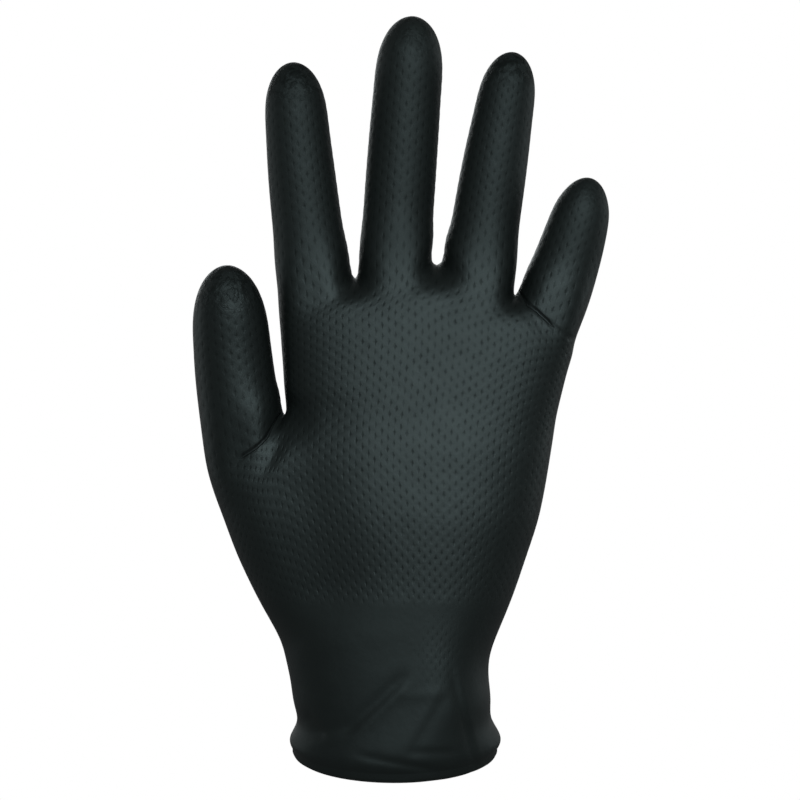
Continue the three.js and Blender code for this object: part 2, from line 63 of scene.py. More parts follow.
# Cuff and wrist. The hem is tilted: its front lies HEM_TILT below its sides, and its back as far
# above them. The tilt fades over TILT_RISE.
CUFF_WIDTH = 68.6
CUFF_DEPTH = 43.6
HEM_HEIGHT = 0.3
WRIST_WIDTH = 63
WRIST_DEPTH = 43
HEM_TILT = 6.8
TILT_RISE = WRIST_WIDTH / 2

# Palm
HEEL_DEPTH = 43
PALM_WIDTH = 87
PALM_DEPTH = 35
PALM_FLARE = 0.315
KNUCKLE_WIDTH = 96
KNUCKLE_DEPTH = 25
KNUCKLE_POWER = 3.2
THUMB_WEB_HEIGHT = 107.5
THUMB_WEB_GAP = 1.0
THUMB_OUTSIDE_BELOW = 14.5
FINGER_WEB_HEIGHT = 155.5

# The front stands out most along a line up the middle of the palm, which bends to the middle of the
# cuff over CREST_RISE.
PALM_CREST = 8
CREST_RISE = 16

# Each finger: its length, its widths at the root, half way up and under the tip, its tilt towards
# the little side in degrees at its root and at its tip, and how far its tip comes forward. For its
# root: how far the front and back sag below its ends, how round its section is, and how much
# deeper it is on the little side. Last, how worn its tip is.
FINGER_TABLE = table(
    ("name", "length", "widths", "lean", "curl", "sag", "pinch", "turn", "worn"),
    ("thumb", 53.9, (26.0, 24.9, 21.2), (-8, -1.5), 8, 7, 0.28, 0.25, 0.8),
    ("index", 69.7, (23.0, 21.5, 18.2), (-8.3, -3.0), 7, 6.5, 0.2, 0.12, 1),
    ("middle", 80.0, (22.6, 22.3, 20.6), (3.4, 5.2), 7, 6.5, 0.22, 0, 0.5),
    ("ring", 72.0, (22.2, 20.8, 16.2), (8.2, 10.2), 7, 6.5, 0.22, 0, 1),
    ("little", 45.6, (22.8, 20.6, 15.6), (22.5, 12), 5, 3, 0.25, -0.08, 0.4),
)
FINGERS = {row["name"]: row for row in FINGER_TABLE}
FOUR = ("index", "middle", "ring", "little")
FINGER_FLATNESS = 0.9
DOME_LENGTH = 1.65
THUMB_FORWARD = 2
THUMB_ROOT_DEPTH = 22.4
ROOT_REACH = 20
SPAN = PALM_WIDTH + THUMB_WEB_GAP + FINGERS["thumb"]["widths"][0]

# Where the fingers part, as shares of KNUCKLE_WIDTH: across from the index side, and below
# FINGER_WEB_HEIGHT. gap is the width of a web's bottom.
KNUCKLES = table(
    ("name", "across", "below", "gap"),
    ("index side", 0, 0.088, 0),
    ("index web", 0.259, 0.042, 1.6),
    ("middle web", 0.533, 0, 2.8),
    ("ring web", 0.797, 0.1, 1.2),
    ("little side", 0.998, 0.255, 0),
)

# The trunk from the hem up: height as a share of THUMB_WEB_HEIGHT, the reach to each side as shares
# of width, the whole depth, and how square the section is
TRUNK = table(
    ("height", "width", "thumb", "little", "depth", "power"),
    (0.000, CUFF_WIDTH, 0.478, 0.476, CUFF_DEPTH * 0.93, 2.0),
    (0.028, CUFF_WIDTH, 0.490, 0.493, CUFF_DEPTH, 2.0),
    (0.070, WRIST_WIDTH, 0.500, 0.496, WRIST_DEPTH * 1.02, 2.1),
    (0.143, WRIST_WIDTH, 0.518, 0.486, WRIST_DEPTH * 1.005, 2.3),
    (0.203, WRIST_WIDTH, 0.534, 0.477, WRIST_DEPTH, 2.35),
    (0.262, WRIST_WIDTH, 0.556, 0.480, WRIST_DEPTH * 0.99, 2.35),
    (0.322, WRIST_WIDTH, 0.587, 0.511, HEEL_DEPTH * 0.985, 2.3),
    (0.441, SPAN, 0.385, 0.328, HEEL_DEPTH * 0.98, 2.3),
    (0.560, SPAN, 0.439, 0.367, HEEL_DEPTH * 0.98, 2.35),
    (0.679, SPAN, 0.482, 0.403, HEEL_DEPTH * 0.97, 2.45),
    (0.798, SPAN, 0.521, 0.426, PALM_DEPTH * 1.14, 2.5),
    (0.917, SPAN, 0.541, 0.444, PALM_DEPTH * 1.07, 2.6),
    (1.000, SPAN, 0.549, 0.457, PALM_DEPTH, 2.75),
)

# Soft folds of the palm side. from and to are places on the front: across as a share of PALM_WIDTH,
# up as a share of THUMB_WEB_HEIGHT. width is millimetres, dent how deep the fold is, and step how far
# the film on its little side stands above that on its thumb side.
FOLDS = table(
    ("name", "from", "to", "width", "dent", "step"),
    ("slope beside the thumb", (-0.4, 0.92), (-0.26, 0.42), 16.0, 2.6, 0),
    ("fold from wrist to thumb side", (0.026, 0.212), (-0.158, 0.069), 1.5, 0.34, 0.5),
    ("its lower end", (-0.158, 0.069), (-0.32, 0.04), 1.6, 0.32, 0.3),
    ("fold from wrist to little side", (0.17, 0.167), (0.055, 0.012), 1.5, 0.12, -0.18),
    ("side fold", (0.215, 0.215), (0.285, -0.01), 1.2, 0.34, 0.2),
    ("ridge between them", (0.03, 0.17), (0.165, 0.178), 1.7, -0.12, 0),
    ("hem fold", (-0.12, -0.005), (0.13, -0.045), 1.3, 0.36, 0),
    ("hem fold at the little side", (0.07, 0.008), (0.21, 0.006), 1.3, 0.22, 0.1),
    ("fold by the thumb edge", (-0.31, 0.105), (-0.26, 0.045), 1.3, 0.2, 0.2),
)

# A fold runs on past both ends by FOLD_OVERRUN of its length and fades over FOLD_FADE of it. A step
# spreads over STEP_WIDTH times the fold's width.
FOLD_OVERRUN = 0.25
FOLD_FADE = 0.4
STEP_WIDTH = 1.6

# Creases across the roots of the thumb and the little finger: how much of each root point's place
# on its ring is creased, from the thumb side by the front. The mark of a crease is 1 on its line and
# falls to 0 at the next points. The groove takes the last 1 / GROOVE_SHARPNESS of it, and below the
# line the film swells a little where the mark is near LIP_PLACE.
CREASES = {
    "thumb": (0, 0.2, 1, 1, 1, 0, 0, 0),
    "little": (1, 1, 1, 0.6, 0, 0, 0, 0),
}
CREASE_DEPTH = 0.5
GROOVE_SHARPNESS = 8
LIP_HEIGHT = 0.06
LIP_PLACE = 0.8
LIP_WIDTH = 0.15
MARK_MARGIN = 0.01

# Grip: the depth of a pit, the height on the glove where the pits end, and the fringe of faint ones
# on the wrist
PIT = 0.13
GRIP_BOTTOM = 45.0
GRIP_FADE = 5.0
FRINGE_PLACE = (14, 31)
FRINGE_SIZE = (6, 11)
FRINGE_SHARE = 0.8

# The finger stalls are less glossy, from this far below FINGER_WEB_HEIGHT to as far above it
STALL_FADE = 10

# How fast the folds and creases appear as the film turns to the front
FRONT_SHARPNESS = 2

# Cage
ROW_STEP = 7.8
FIT_ROUNDS = 8
FINE_LEVELS = 3
INNER_LEVELS = 2
SECTION_POINTS = 97
PATH_STEPS = 24
HALF_ROOT = math.sqrt(0.5)
LOBE = (-HALF_ROOT, 0, HALF_ROOT)
RING = (
    (-1, 0), (-HALF_ROOT, HALF_ROOT), (0, 1), (HALF_ROOT, HALF_ROOT),
    (1, 0), (HALF_ROOT, -HALF_ROOT), (0, -1), (-HALF_ROOT, -HALF_ROOT),
)
COLUMNS_PER_FINGER = 3
TRUNK_COLUMNS = 5 * COLUMNS_PER_FINGER + 1
PALM_COLUMNS = 4 * COLUMNS_PER_FINGER + 1
HEM_SHARES = (0, 0.03, 0.085, 0.15)
PALM_ROWS = 6
DOME_ANGLES = (90, 64, 36)
TIP_SHARES = (0.7, 1, 1)
LOBE_REACH = 0.2
LOBE_SHARPNESS = 3
ULNAR_DROP = 0.07
KNUCKLE_FADE = 11

# Lattice of the grip: its steps along each side of a face of the cage, and half the way from one
# pit to the next in its row
LATTICE_STEPS = 2
LATTICE_HALF = 0.5
PIT_SIZE = 0.42
PIT_NARROW = 1.1
RIDGE_SIZE = 0.2

# Nitrile: its noises, with their scale for each metre, its colours, and the near black of painted shade
# in the groove of a crease
NOISES = {
    "cloud": {"Scale": 45.0, "Detail": 4.0, "Roughness": 0.6},
    "grain": {"Scale": 900.0, "Detail": 3.0, "Roughness": 0.65},
    "spots": {"Scale": 260.0, "Detail": 2.0, "Roughness": 0.5},
    "wrinkles": {"Scale": 380.0, "Detail": 3.0, "Roughness": 0.6},
}
SPOT_SHARE = 0.5
NITRILE_DARK = (0.0050, 0.0067, 0.0061, 1)
NITRILE_LIGHT = (0.0085, 0.0110, 0.0103, 1)
# Painted shade: the near black put into the groove of a crease, where shade falls
CREASE_SHADE_COLOUR = (0.001, 0.001, 0.001, 1)

# Between which values an effect grows: the patches where pits fade down to PATCH_LEAST and the worn
# skin by their noises, and the groove of a crease, which is cut into the bump and darkened with painted
# shade, by its mark
PATCHES = (0.35, 0.65)
PATCH_LEAST = 0.45
WORN = (0.4, 0.62)
GROOVE_AND_SHADE_SPAN = (0.86, 0.97)

# Heights of the bumps in millimetres
PIT_DEPTH = 0.08
RIDGE_HEIGHT = 0.008
GRAIN_HEIGHT = 0.016
SPOT_HEIGHT = 0.04
CLOUD_HEIGHT = 0.3
TIP_HEIGHT = 0.25
CUT_DEPTH = 0.3

# Gloss
NITRILE_IOR = 1.5
GLOSS_TINT = (0.78, 0.98, 1.0, 1)
ROUGH_LOW = 0.48
ROUGH_HIGH = 0.60
GRIP_ROUGH = -0.05
STALL_ROUGH = 0.09
SHINE = 0.44
GRIP_SHINE = 0.08
PIT_SHADE = 0.21
TIP_SHADE = 0.32

# Stage and light, in metres. The floor and the sky are pure white for the camera and dim for the
# glove. The sky is brighter behind the glove, from RIM_FROM towards +Y.
FLOOR_HEIGHT = -0.09
FLOOR_HALF = 3.0
STAGE_WHITE = 0.12
WORLD_DIM = 0.1
WORLD_RIM = 0.5
RIM_FROM = 0.15
LIGHT_COLOUR = (0.95, 1.0, 1.0)
LIGHTS = table(
    ("name", "place", "size", "watts"),
    ("key", (0.15, -1.05, 0.42), (0.85, 0.42), 5.7),
    ("back", (-0.35, 1.1, 0.6), (0.9, 0.6), 4.5),
    ("right", (1.1, 0.3, 0.3), (0.6, 0.6), 1.4),
    ("left", (-1.1, 0.3, 0.2), (0.6, 0.6), 0.9),
)
AIM = Vector((0, 0, 0.13))

# Camera: level with the middle of the palm, so that the photograph's 800 pixels span FRAME_WIDTH
CAMERA_DISTANCE = 0.9
CAMERA_HEIGHT = 0.111
CAMERA_SIDE = 0.0016
FRAME_WIDTH = 0.2566
SENSOR = 36.0


def lerp(start, end, share):
    return start + (end - start) * share


def clamp(value, low=0, high=1):
    return min(max(value, low), high)


def ease(share):
    """Smooth step from 0 to 1."""
    t = np.clip(share, 0, 1)
    return t * t * (3 - 2 * t)


def curve(rows, column):
    """One column of a table as a smooth function of height."""
    heights = np.array([row["height"] for row in rows], float)
    values = np.array([row[column] for row in rows], float)
    here = np.arange(len(rows))
    before = np.maximum(here - 1, 0)
    after = np.minimum(here + 1, len(rows) - 1)
    slopes = (values[after] - values[before]) / (heights[after] - heights[before])

    def at(height):
        h = clamp(height, heights[0], heights[-1])
        i = clamp(int(np.searchsorted(heights, h)) - 1, 0, len(rows) - 2)
        step = heights[i + 1] - heights[i]
        t = (h - heights[i]) / step
        rise = values[i + 1] - values[i]
        start = slopes[i] * step
        end = slopes[i + 1] * step
        bend = 3 * rise - 2 * start - end + t * (start + end - 2 * rise)
        return values[i] + t * (start + t * bend)

    return at


def on_section(left, crest, right, depth, power, share):
    """The point at a share of the way along a section's front, from its thumb side, as (x, out)."""
    angle = np.pi * (1 - np.linspace(0, 1, SECTION_POINTS))
    across = np.sign(np.cos(angle)) * np.abs(np.cos(angle)) ** (2 / power)
    out = np.sin(angle).clip(0) ** (2 / power) * depth / 2
    x = crest + across * np.where(across < 0, crest - left, right - crest)
    length = np.concatenate([[0], np.cumsum(np.hypot(np.diff(x), np.diff(out)))])
    wanted = share * length[-1]
    return np.interp(wanted, length, x), np.interp(wanted, length, out)


def out_at(left, crest, right, depth, power, x):
    """How far a section stands out at x."""
    reach = crest - left if x < crest else right - crest
    across = min(abs(x - crest) / reach, 1)
    return depth / 2 * (1 - across ** power) ** (1 / power)


# Functions of height for the trunk and the palm
trunk_rows = [
    {
        "height": row["height"] * THUMB_WEB_HEIGHT,
        "thumb": -row["thumb"] * row["width"],
        "little": row["little"] * row["width"],
        "depth": row["depth"],
        "power": row["power"],
    }
    for row in TRUNK
]
little_at_web = trunk_rows[-1]["little"]
index_at_web = little_at_web - PALM_WIDTH
thumb_end = index_at_web - THUMB_WEB_GAP
knuckle_start = index_at_web - PALM_FLARE * (KNUCKLE_WIDTH - PALM_WIDTH)
knuckles = [
    {
        "x": knuckle_start + row["across"] * KNUCKLE_WIDTH,
        "z": FINGER_WEB_HEIGHT - row["below"] * KNUCKLE_WIDTH,
        "half": row["gap"] / 2,
    }
    for row in KNUCKLES
]
little_outside = {"height": knuckles[-1]["z"], "little": knuckles[-1]["x"]}
knuckle_row = {"height": FINGER_WEB_HEIGHT, "depth": KNUCKLE_DEPTH, "power": KNUCKLE_POWER}
thumb_side = curve(trunk_rows, "thumb")
little_side = curve([*trunk_rows, little_outside], "little")
depth_at = curve([*trunk_rows, knuckle_row], "depth")
power_at = curve([*trunk_rows, knuckle_row], "power")


def index_side(z):
    t = (z - THUMB_WEB_HEIGHT) / (knuckles[0]["z"] - THUMB_WEB_HEIGHT)
    return lerp(index_at_web, knuckle_start, clamp(t))


# The two ends of each finger's root, its depth, and how far forward it lies
thumb_start = thumb_end - FINGERS["thumb"]["widths"][0]
roots = {
    "thumb": {
        "start": np.array([thumb_start, THUMB_WEB_HEIGHT - THUMB_OUTSIDE_BELOW]),
        "end": np.array([thumb_end, THUMB_WEB_HEIGHT]),
        "depth": THUMB_ROOT_DEPTH,
        "forward": THUMB_FORWARD,
    },
}
for finger, low, high in zip(FOUR, knuckles, knuckles[1:]):
    x = (low["x"] + high["x"]) / 2
    z = (low["z"] + high["z"]) / 2
    sides = (index_side(z), (index_side(z) + little_side(z)) / 2, little_side(z))
    roots[finger] = {
        "start": np.array([low["x"] + low["half"], low["z"]]),
        "end": np.array([high["x"] - high["half"], high["z"]]),
        "depth": 2 * out_at(*sides, depth_at(z), power_at(z), x),
        "forward": 0,
    }


def root_place(name, t, side):
    """A place on a finger's root, at t from -1 on its thumb side to 1 on its little side."""
    finger = FINGERS[name]
    root = roots[name]
    x, z = lerp(root["start"], root["end"], (t + 1) / 2)
    bow = max(1 - t * t, 0) ** finger["pinch"]
    out = bow * root["depth"] / 2 * (1 + finger["turn"] * t)
    return np.array([x, side * out - root["forward"], z - finger["sag"] * bow])


class Cage:
    """The places that the smooth surface passes through, their marks, and the faces between them."""

    def __init__(self):
        self.places = []
        self.faces = []
        self.marks = {name: [] for name in ("on_crease", "creased", "above_crease", "tip")}

    def put(self, place):
        self.places.append(np.asarray(place, float))
        for values in self.marks.values():
            values.append(0.0)
        return len(self.places) - 1

    def join(self, low, high):
        for i, first in enumerate(low):
            after = (i + 1) % len(low)
            self.faces.append((first, low[after], high[after], high[i]))

    def crease(self, ring, above, shares):
        """Marks a ring as the line of a crease, with the strength that it has at each point."""
        for i, share in enumerate(shares):
            self.marks["on_crease"][ring[i]] = 1.0
            self.marks["creased"][ring[i]] = share
            self.marks["creased"][above[i]] = share
            self.marks["above_crease"][above[i]] = 1.0


cage = Cage()


def ring_of(columns, place):
    """Points round the trunk: the front ones, the little side, and the back ones."""
    ring = []
    for k in range(2 * columns):
        column = k if k <= columns else 2 * columns - k
        ring.append(cage.put(place(column, -1 if k <= columns else 1)))
    return ring


def palm_at_web(column, side):
    share = column / PALM_COLUMNS
    z = THUMB_WEB_HEIGHT * (1 - ULNAR_DROP * float(ease(share)))
    section = (index_at_web, PALM_CREST, little_at_web, depth_at(z), power_at(z))
    x, out = on_section(*section, share)
    return np.array([x, side * out, z])


def trunk_top(column, side):
    """The top row of the trunk, where the thumb and the palm part."""
    if column > COLUMNS_PER_FINGER:
        return palm_at_web(column - COLUMNS_PER_FINGER, side)
    return root_place("thumb", -1 if column == 0 else LOBE[column - 1], side)


def trunk_row(share):
    """A row of the trunk at a share of the way from the hem to its top."""

    def place(column, side):
        top = trunk_top(column, side)
        z = lerp(HEM_HEIGHT, top[2], share)
        left = thumb_side(z)
        right = little_side(z)
        depth = depth_at(z)
        crest = PALM_CREST * float(ease(z / CREST_RISE))
        section = (left, crest, right, depth, power_at(z))
        x, _ = on_section(*section, column / TRUNK_COLUMNS)
        lobe = float(ease((share - 1 + LOBE_REACH) / LOBE_REACH))
        x = lerp(x, left + (top[0] - trunk_top(0, side)[0]) * (right - left) / SPAN, lobe)
        out = side * out_at(*section, x)
        y = lerp(out, top[1] * depth / depth_at(top[2]), lobe ** LOBE_SHARPNESS)
        near = 1 - clamp((z - HEM_HEIGHT) / TILT_RISE)
        return x, y, z + HEM_TILT * near * near * 2 * y / depth

    return ring_of(TRUNK_COLUMNS, place)


def palm_row(share):
    """A row of the palm at a share of the way from the thumb web to the finger roots."""

    def place(column, side):
        finger = FOUR[clamp(math.ceil(column / COLUMNS_PER_FINGER) - 1, 0, len(FOUR) - 1)]
        ends = {0: -1, PALM_COLUMNS: 1}
        top = root_place(finger, ends.get(column, LOBE[(column - 1) % COLUMNS_PER_FINGER]), side)
        z = lerp(palm_at_web(column, side)[2], top[2], share)
        left = index_side(z)
        right = little_side(z)
        section = (left, (left + right) / 2, right, depth_at(z), power_at(z))
        x, out = on_section(*section, column / PALM_COLUMNS)
        lobe = share ** KNUCKLE_FADE * float(ease(share))
        return lerp(x, top[0], lobe), lerp(side * out, top[1], lobe), z

    return ring_of(PALM_COLUMNS, place)


def finger_path(name, distance):
    """The middle of a finger, and its lean there, at a distance from its root."""
    finger = FINGERS[name]
    root = roots[name]
    length = finger["length"]
    shares = (np.arange(PATH_STEPS) + 0.5) / PATH_STEPS * distance / length
    leans = np.radians(lerp(*finger["lean"], shares))
    x, z = (root["start"] + root["end"]) / 2
    x += np.sin(leans).sum() * distance / PATH_STEPS
    z += np.cos(leans).sum() * distance / PATH_STEPS
    y = -root["forward"] - finger["curl"] * (distance / length) ** 2
    return np.array([x, y, z]), math.radians(lerp(*finger["lean"], distance / length))


def finger_ring(name, root_ring, distance, scale):
    """A ring round a finger, which turns square to it a little way above the root."""
    finger = FINGERS[name]
    rows = table(("height", "width"), *zip((0, 0.5, 1), finger["widths"]))
    half = scale * curve(rows, "width")(distance / finger["length"]) / 2
    centre, lean = finger_path(name, distance)
    start, _ = finger_path(name, 0)
    turned = float(ease(distance / ROOT_REACH))
    ring = []
    for i, (across, forward) in enumerate(RING):
        out = (across * math.cos(lean), -forward * FINGER_FLATNESS, -across * math.sin(lean))
        rooted = cage.places[root_ring[i]] - start
        ring.append(cage.put(centre + lerp(rooted, half * np.array(out), turned)))
    return ring


def grow_finger(name, root_ring):
    """The rings and the faces of a finger from its root to its tip."""
    finger = FINGERS[name]
    dome = DOME_LENGTH * finger["widths"][2] / 2
    body = finger["length"] - dome
    rows = round(body / ROW_STEP)
    steps = [(body * i / rows, 1.0) for i in range(1, rows)]
    for degrees in DOME_ANGLES:
        angle = math.radians(degrees)
        steps.append((body + dome * math.cos(angle), math.sin(angle)))
    rings = [root_ring]
    for distance, scale in steps:
        rings.append(finger_ring(name, root_ring, distance, scale))
        cage.join(rings[-2], rings[-1])
    pole = cage.put(finger_path(name, finger["length"])[0])
    last = rings[-1]
    for share, points in zip(TIP_SHARES, (rings[-2], last, [pole])):
        for i in points:
            cage.marks["tip"][i] = share * finger["worn"]
    for i in range(0, len(RING), 2):
        cage.faces.append((pole, last[i], last[i + 1], last[(i + 2) % len(RING)]))
    if name in CREASES:
        cage.crease(root_ring, rings[1], CREASES[name])


def split(ring, columns, counts, webs):
    """Parts a ring into one ring for each branch, with a web of two faces between neighbours."""

    def back(k):
        return ring[(2 * columns - k) % len(ring)]

    rings = []
    first = 1
    left = ring[0]
    for b, count in enumerate(counts):
        last = first + count - 1
        across = range(first, last + 1)
        front_points = [ring[k] for k in across]
        back_points = [back(k) for k in reversed(across)]
        is_end = b == len(counts) - 1
        middles = None if is_end else [cage.put(place) for place in webs[b]]
        right = ring[columns] if is_end else middles[0]
        rings.append([left, *front_points, right, *back_points])
        if not is_end:
            cage.faces.append((ring[last], ring[last + 1], middles[1], middles[0]))
            cage.faces.append((middles[0], middles[1], back(last + 1), back(last)))
            left = middles[1]
        first = last + 1
    return rings


def build_cage():
    height = (1 - HEM_SHARES[-1]) * THUMB_WEB_HEIGHT
    above = round(height / ROW_STEP)
    shares = [*HEM_SHARES, *[lerp(HEM_SHARES[-1], 1, i / above) for i in range(1, above + 1)]]
    ring = trunk_row(shares[0])
    for share in shares[1:]:
        under = ring
        ring = trunk_row(share)
        cage.join(under, ring)
    web_y = -THUMB_FORWARD / 2
    thumb_web = [(x, web_y, THUMB_WEB_HEIGHT) for x in (thumb_end, index_at_web)]
    counts = (COLUMNS_PER_FINGER, PALM_COLUMNS - 1)
    thumb_root, ring = split(ring, TRUNK_COLUMNS, counts, [thumb_web])
    grow_finger("thumb", thumb_root)

    for row in range(1, PALM_ROWS + 1):
        under = ring
        ring = palm_row(row / PALM_ROWS)
        cage.join(under, ring)
    webs = [[(k["x"] + side * k["half"], 0, k["z"]) for side in (-1, 1)] for k in knuckles[1:-1]]
    four_roots = split(ring, PALM_COLUMNS, (COLUMNS_PER_FINGER,) * len(FOUR), webs)
    for name, root_ring in zip(FOUR, four_roots):
        grow_finger(name, root_ring)


def gather(count, index, values):
    """Sums of values for each index."""
    columns = [np.bincount(index, values[:, i], count) for i in range(values.shape[1])]
    return np.stack(columns, axis=1)


def edges_of(faces):
    """The edges of a quad mesh, the edge on each side of each face, and the faces on each edge."""
    sides = np.stack([faces, np.roll(faces, -1, axis=1)], axis=2).reshape(-1, 2)
    low = sides.min(axis=1).astype(np.int64)
    high = sides.max(axis=1).astype(np.int64)
    base = high.max() + 1
    keys, of_side, used = np.unique(low * base + high, return_inverse=True, return_counts=True)
    edges = np.stack([keys // base, keys % base], axis=1)
    return edges, of_side.reshape(faces.shape), used


def hem_sums(points, edges, used):
    """For points on the open edge, the sum of their two neighbours on it."""
    hem = edges[used == 1]
    both = np.concatenate([hem, hem[:, ::-1]])
    total = gather(len(points), both[:, 0], points[both[:, 1]])
    return np.unique(hem), total


def on_surface(points, faces):
    """Where each point of a Catmull-Clark cage ends up on its smooth surface."""
    edges, _, used = edges_of(faces)
    both = np.concatenate([edges, edges[:, ::-1]])
    n = np.bincount(both[:, 0], minlength=len(points))[:, None]
    near = gather(len(points), both[:, 0], points[both[:, 1]])
    far = sum(gather(len(points), faces[:, i], points[faces[:, (i + 2) % 4]]) for i in range(4))
    reached = (n * n * points + 4 * near + far) / (n * (n + 5))
    hem, total = hem_sums(points, edges, used)
    reached[hem] = (4 * points[hem] + total[hem]) / 6
    return reached


def fit(places, faces):
    """Swells the cage until its smooth surface passes through the places that it was given."""
    swollen = places.copy()
    for _ in range(FIT_ROUNDS):
        swollen += places - on_surface(swollen, faces)
    return swollen


class Film:
    """A quad mesh that can be refined, with what rides on its points and its face corners."""

    def __init__(self, points, faces, marks):
        self.points = points
        self.faces = faces
        self.marks = marks
        self.pit = np.ones(len(points))
        unit = np.array([(0, 0), (1, 0), (1, 1), (0, 1)], float) * LATTICE_STEPS
        self.lattice = np.tile(unit, (len(faces), 1, 1))
        self.level = 0

    def refine(self):
        """One Catmull-Clark refinement. The marks and the lattice are shared out evenly."""
        points, faces = self.points, self.faces
        edges, of_side, used = edges_of(faces)
        centres = points[faces].mean(axis=1)
        middles = points[edges].mean(axis=1)
        sides = np.repeat(np.arange(len(faces)), 4)
        beside = gather(len(edges), of_side.ravel(), centres[sides])
        inner = used == 2
        edge_points = middles.copy()
        edge_points[inner] = (2 * middles[inner] + beside[inner]) / 4

        both = np.concatenate([edges, edges[:, ::-1]])
        n = np.bincount(both[:, 0], minlength=len(points))[:, None]
        near = gather(len(points), both[:, 0], np.concatenate([middles, middles])) / n
        corners = np.bincount(faces.ravel(), minlength=len(points))[:, None]
        round_faces = gather(len(points), faces.ravel(), centres[sides]) / corners
        moved = (round_faces + 2 * near + (n - 3) * points) / n
        hem, total = hem_sums(points, edges, used)
        moved[hem] = (6 * points[hem] + total[hem]) / 8

        edge_index = len(points) + of_side
        face_points = len(points) + len(edges) + np.arange(len(faces))
        centre_index = np.repeat(face_points[:, None], 4, axis=1)
        quads = [faces, edge_index, centre_index, np.roll(edge_index, 1, axis=1)]
        self.faces = np.stack(quads, axis=2).reshape(-1, 4)
        self.points = np.concatenate([moved, edge_points, centres])

        after = (self.lattice + np.roll(self.lattice, -1, axis=1)) / 2
        middle = np.repeat(self.lattice.mean(axis=1, keepdims=True), 4, axis=1)
        before = np.roll(after, 1, axis=1)
        self.lattice = np.stack([self.lattice, after, middle, before], axis=2).reshape(-1, 4, 2)
        edge_marks = self.marks[edges].mean(axis=1)
        face_marks = self.marks[faces].mean(axis=1)
        self.marks = np.concatenate([self.marks, edge_marks, face_marks])

        # A pit lies on each point of the first refinement and each face centre of the second.
        on_edges = 1.0 if self.level == 0 else 0.0
        on_centres = 1.0 if self.level <= 1 else 0.0
        added = [np.full(len(edges), on_edges), np.full(len(faces), on_centres)]
        self.pit = np.concatenate([self.pit, *added])
        self.level += 1

    def settle(self):
        """Moves the points to the smooth surface and works out which way it faces."""
        self.points = on_surface(self.points, self.faces)
        a, b, c, d = (self.points[self.faces[:, i]] for i in range(4))
        facing = np.cross(c - a, d - b)
        total = sum(gather(len(self.points), self.faces[:, i], facing) for i in range(4))
        self.normals = total / np.linalg.norm(total, axis=1, keepdims=True)

    def front(self):
        """How much each point faces the front, from 0 to 1."""
        return ease(-FRONT_SHARPNESS * self.normals[:, 1])

    def lift(self, height):
        """Moves the points along the way that the film faces."""
        self.points = self.points + self.normals * height[:, None]

    def hem(self):
        """The points of the open edge in order."""
        _, of_side, used = edges_of(self.faces)
        open_sides = used[of_side] == 1
        starts = self.faces[open_sides]
        ends = np.roll(self.faces, -1, axis=1)[open_sides]
        after = dict(zip(starts.tolist(), ends.tolist()))
        loop = [int(starts.min())]
        while after[loop[-1]] != loop[0]:
            loop.append(after[loop[-1]])
        return loop


def fold_height(film):
    """How far the soft folds lift the film at each point."""
    points = film.points
    total = np.zeros(len(points))
    for fold in FOLDS:
        start = np.array(fold["from"]) * (PALM_WIDTH, THUMB_WEB_HEIGHT)
        end = np.array(fold["to"]) * (PALM_WIDTH, THUMB_WEB_HEIGHT)
        along = end - start
        length = np.linalg.norm(along)
        offset = points[:, [0, 2]] - start
        t = offset @ along / length ** 2
        aside = (offset[:, 0] * -along[1] + offset[:, 1] * along[0]) / length / fold["width"]
        reach = ease((t + FOLD_OVERRUN) / FOLD_FADE) * ease((1 + FOLD_OVERRUN - t) / FOLD_FADE)
        dent = fold["dent"] * np.exp(-aside ** 2)
        step = fold["step"] * aside * np.exp(-(aside / STEP_WIDTH) ** 2)
        total += reach * (step - dent)
    return total * film.front()


def grip_share(points):
    """How strongly the grip shows at each point: fully on fingers and palm, and not at the wrist."""
    share = ease((points[:, 2] - GRIP_BOTTOM) / GRIP_FADE)
    away = ((points[:, [0, 2]] - FRINGE_PLACE) / FRINGE_SIZE) ** 2
    fringe = FRINGE_SHARE * np.exp(-away.sum(axis=1))
    return np.maximum(share, np.where(points[:, 1] < 0, fringe, 0))


def add_bead(outer, inner, start):
    """Rings of the rolled bead between the two faces of the film: its points and its faces."""
    fine = outer.hem()
    loop = inner.hem()
    at = fine.index(loop[0])
    fine = fine[at:] + fine[:at]
    outward = inner.normals[loop] * (1, 1, 0)
    outward /= np.linalg.norm(outward, axis=1, keepdims=True)
    centre = (outer.points[fine[::2]] + inner.points[loop]) / 2
    centre = centre - BEAD_INWARD * BEAD_RADIUS * outward - (0, 0, BEAD_BELOW * BEAD_RADIUS)
    count = len(loop)
    points = []
    rings = []
    for degrees in BEAD_ANGLES:
        angle = math.radians(degrees)
        rings.append(list(range(start + len(points), start + len(points) + count)))
        points.extend(centre + BEAD_RADIUS * (math.cos(angle) * outward + (0, 0, math.sin(angle))))
    rings.append([i + len(outer.points) for i in loop])
    faces = []
    for k in range(count):
        after = (k + 1) % count
        upper = (fine[(2 * k + 2) % len(fine)], fine[2 * k + 1], fine[2 * k])
        faces.append((*upper, rings[0][k], rings[0][after]))
    for low, high in zip(rings, rings[1:]):
        for k in range(count):
            after = (k + 1) % count
            faces.append((low[after], low[k], high[k], high[after]))
    return points, faces


